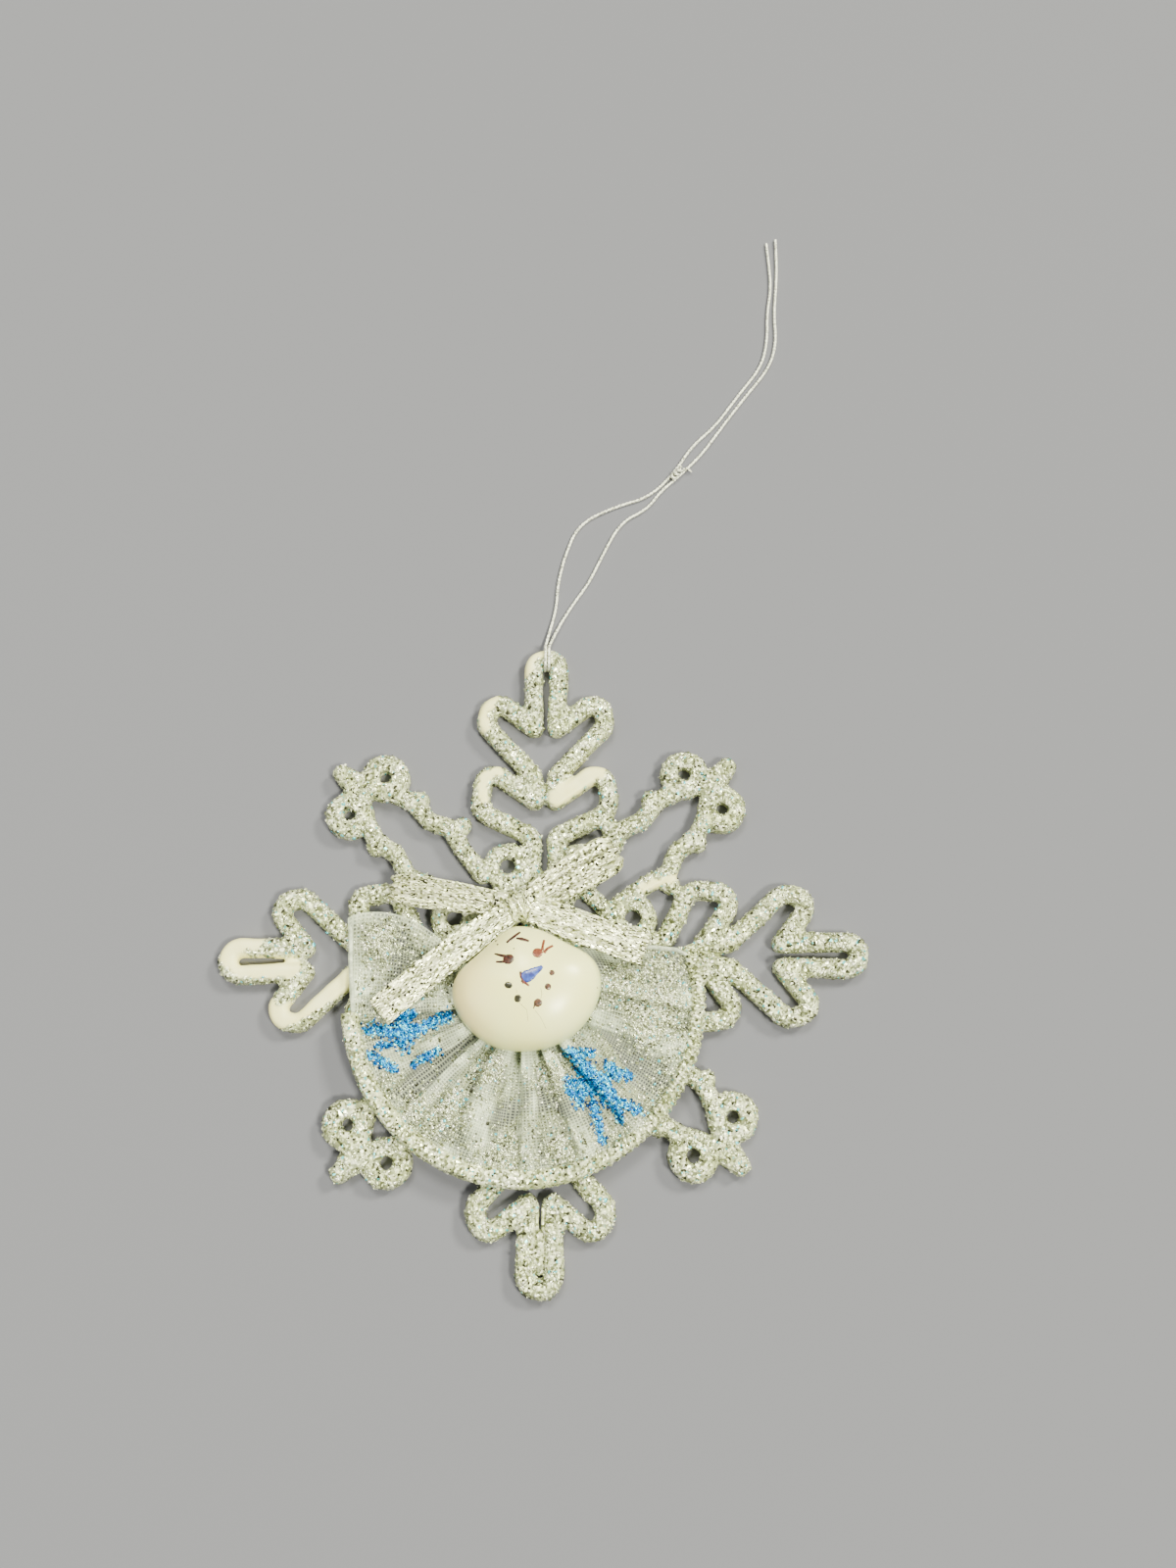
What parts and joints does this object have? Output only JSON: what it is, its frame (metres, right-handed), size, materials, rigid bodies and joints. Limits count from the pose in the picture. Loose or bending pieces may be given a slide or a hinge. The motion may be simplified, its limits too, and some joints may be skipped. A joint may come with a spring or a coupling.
{
  "type": "snowflake ornament",
  "caption": "Flat glittered snowflake ornament with a domed snowman face, a gathered organza ruffle, a ribbon bow and a hanging thread.",
  "frame": {"origin": "centre of the snowflake on its flat back, which rests on the surface", "axes": "+Y towards the arm that holds the thread, +X to the right seen from the front, +Z out of the decorated face"},
  "size_m": [0.115, 0.2062, 0.0126],
  "materials": {
    "glitter_plastic": "silver glitter over a cream moulding",
    "organza": "sheer woven organza with glitter prints",
    "hem_trim": "glittered cord edge",
    "sewing_thread": "matt thread",
    "metallic_ribbon": "woven silver ribbon",
    "metallic_thread": "twisted silver thread",
    "shell": "glossy varnished shell with painted features",
    "hot_glue": "translucent set glue"
  },
  "bodies": {
    "ornament": {"snowflake_frame": "glitter_plastic", "ruffle": "organza", "ruffle_hem": "hem_trim", "gathering_thread": "sewing_thread", "ruffle_glue": "hot_glue", "shell_head": "shell", "shell_glue": "hot_glue", "bow_glue": "hot_glue", "bow_knot": "metallic_ribbon", "bow_left_loop": "metallic_ribbon", "bow_right_loop": "metallic_ribbon", "bow_left_tail": "metallic_ribbon", "bow_right_tail": "metallic_ribbon", "thread_hitch": "metallic_thread"},
    "hanger": {"thread_left": "metallic_thread", "thread_right": "metallic_thread", "thread_knot": "metallic_thread"}
  },
  "joints": [
    {"name": "hanger_swing", "type": "hinge", "parent": "ornament", "child": "hanger", "pos_m": [0.0001, 0.05863, 0.001], "axis": [1, 0, 0], "range_deg": [0, 90]}
  ]
}
